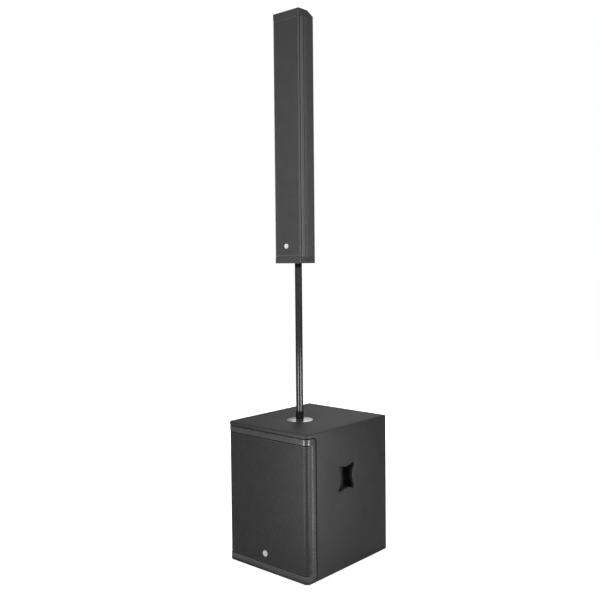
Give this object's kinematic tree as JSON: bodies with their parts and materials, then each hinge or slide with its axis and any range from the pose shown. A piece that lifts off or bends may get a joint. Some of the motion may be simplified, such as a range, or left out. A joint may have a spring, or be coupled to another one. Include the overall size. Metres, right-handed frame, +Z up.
{
  "type": "column pa speaker system",
  "caption": "Floor-standing bass cabinet with a front grille, side grips and a rear amplifier panel, carrying a tapered column speaker that swivels on a screw-in pole.",
  "frame": {"origin": "on the floor, at the centre of the cabinet's footprint", "axes": "+Z up; -Y is the front, where the grilles face; +X is the right-hand side seen from the front"},
  "size_m": [0.516, 0.6101, 2.667],
  "materials": {
    "cabinet_paint": "textured black polyurea-type paint over plywood",
    "baffle_paint": "flat black paint over plywood",
    "bare_plywood": "bare birch plywood",
    "frame_plastic": "satin dark grey moulding",
    "grille_steel": null,
    "grille_foam": "open-cell black foam",
    "badge_enamel": "plain pale disc",
    "cast_frame": "black-painted cast aluminium",
    "motor_steel": "black-coated steel and ferrite",
    "surround_cloth": "treated cloth roll",
    "cone_paper": "pressed black paper",
    "coil_copper": "enamelled copper wire on its former",
    "spider_cloth": "corrugated resin-stiffened cloth",
    "black_screws": "black zinc",
    "port_plastic": "black moulded tube",
    "cup_plastic": "black moulded cup",
    "socket_steel": "bare turned steel",
    "zinc_screws": "zinc-plated",
    "foot_rubber": "black rubber",
    "amp_panel": "fine-textured black powder coat",
    "sink_aluminium": "black anodised",
    "board_laminate": "green circuit board",
    "connector_plastic": "black moulded connector",
    "rocker_plastic": "red rocker",
    "knob_plastic": "soft-touch black knob",
    "lamp_lens": "green lens",
    "wadding": "polyester wadding",
    "bearing_nylon": "nylon",
    "pole_paint": "satin black powder coat",
    "pole_plastic": "black plastic",
    "column_paint": "fine-textured black powder coat over aluminium",
    "rail_paint": "satin dark grey",
    "cap_plastic": "satin dark grey moulding"
  },
  "bodies": {
    "subwoofer": {"cabinet_shell": "cabinet_paint", "rear_panel": "cabinet_paint", "baffle": "baffle_paint", "window_brace": "bare_plywood", "front_frame": "frame_plastic", "sub_grille": "grille_steel", "sub_grille_foam": "grille_foam", "sub_badge": "badge_enamel", "woofer_basket": "cast_frame", "woofer_magnet": "motor_steel", "woofer_surround": "surround_cloth", "power_transformer": "coil_copper", "woofer_spider": "spider_cloth", "woofer_bolts": "black_screws", "port_tubes": "port_plastic", "handle_cups": "cup_plastic", "pole_socket": "socket_steel", "socket_screws": "zinc_screws", "foot_screws": "zinc_screws", "amp_screws": "zinc_screws", "rubber_feet": "foot_rubber", "amp_plate": "amp_panel", "heatsink": "sink_aluminium", "amp_board": "board_laminate", "xlr_sockets": "connector_plastic", "speaker_sockets": "connector_plastic", "mains_inlet": "connector_plastic", "status_lights": "lamp_lens", "damping_wadding": "wadding"},
    "woofer_diaphragm": {"woofer_cone": "cone_paper", "woofer_dust_cap": "cone_paper", "voice_coil": "coil_copper"},
    "pole_ring": {"pole_washer": "bearing_nylon"},
    "pole": {"pole_stud": "socket_steel", "pole_collar": "pole_plastic", "pole_tube": "pole_paint", "pole_top_plug": "pole_plastic"},
    "swivel_ring": {"swivel_washer": "bearing_nylon"},
    "column": {"column_body": "column_paint", "column_top_cap": "cap_plastic", "column_bottom_cap": "cap_plastic", "column_rails": "rail_paint", "column_grille": "grille_steel", "column_grille_foam": "grille_foam", "column_badge": "badge_enamel", "column_baffle": "baffle_paint", "column_baskets": "cast_frame", "column_surrounds": "surround_cloth", "column_magnets": "motor_steel", "column_horn": "port_plastic", "compression_driver": "motor_steel", "column_jack_plate": "amp_panel", "column_jacks": "connector_plastic"},
    "column_diaphragms": {"column_cones": "cone_paper"},
    "sub_level_control": {"sub_level_knob": "knob_plastic"},
    "column_level_control": {"column_level_knob": "knob_plastic"},
    "crossover_control": {"crossover_knob": "knob_plastic"},
    "phase_switch": {"phase_button": "connector_plastic"},
    "power_switch": {"power_rocker": "rocker_plastic"},
    "fuse_holder": {"fuse_drawer": "connector_plastic"}
  },
  "joints": [
    {"name": "pole_rise", "type": "slide", "parent": "subwoofer", "child": "pole_ring", "axis": [0, 0, 1], "range_m": [0, 0.028]},
    {"name": "pole_screw", "type": "hinge", "parent": "pole_ring", "child": "pole", "pos_m": [0, -0.061, 0.7], "axis": [0, 0, 1], "range_deg": [0, 4032]},
    {"name": "column_lift", "type": "slide", "parent": "pole", "child": "swivel_ring", "axis": [0, 0, 1], "range_m": [0, 0.12]},
    {"name": "column_swivel", "type": "hinge", "parent": "swivel_ring", "child": "column", "pos_m": [0, -0.061, 1.5], "axis": [0, 0, 1], "continuous": true},
    {"name": "woofer_stroke", "type": "slide", "parent": "subwoofer", "child": "woofer_diaphragm", "axis": [0, 1, 0], "range_m": [-0.008, 0.008], "deforming": ["woofer_surround", "woofer_spider"]},
    {"name": "column_stroke", "type": "slide", "parent": "column", "child": "column_diaphragms", "axis": [0, 1, 0], "range_m": [-0.0025, 0.0025], "deforming": ["column_surrounds"]},
    {"name": "sub_level_turn", "type": "hinge", "parent": "subwoofer", "child": "sub_level_control", "pos_m": [0.03, 0.287, 0.508], "axis": [0, 1, 0], "range_deg": [-150, 150]},
    {"name": "column_level_turn", "type": "hinge", "parent": "subwoofer", "child": "column_level_control", "pos_m": [0.09, 0.287, 0.508], "axis": [0, 1, 0], "range_deg": [-150, 150]},
    {"name": "crossover_turn", "type": "hinge", "parent": "subwoofer", "child": "crossover_control", "pos_m": [0.03, 0.287, 0.468], "axis": [0, 1, 0], "range_deg": [-150, 150]},
    {"name": "phase_press", "type": "slide", "parent": "subwoofer", "child": "phase_switch", "axis": [0, -1, 0], "range_m": [0, 0.002]},
    {"name": "power_rock", "type": "hinge", "parent": "subwoofer", "child": "power_switch", "pos_m": [0.062, 0.286, 0.347], "axis": [1, 0, 0], "range_deg": [0, 16]},
    {"name": "fuse_slide", "type": "slide", "parent": "subwoofer", "child": "fuse_holder", "axis": [0, 1, 0], "range_m": [0, 0.02]}
  ],
  "couplings": [
    {"joint": "pole_screw", "follows": "pole_rise", "rad_per_m": 2513.3}
  ]
}
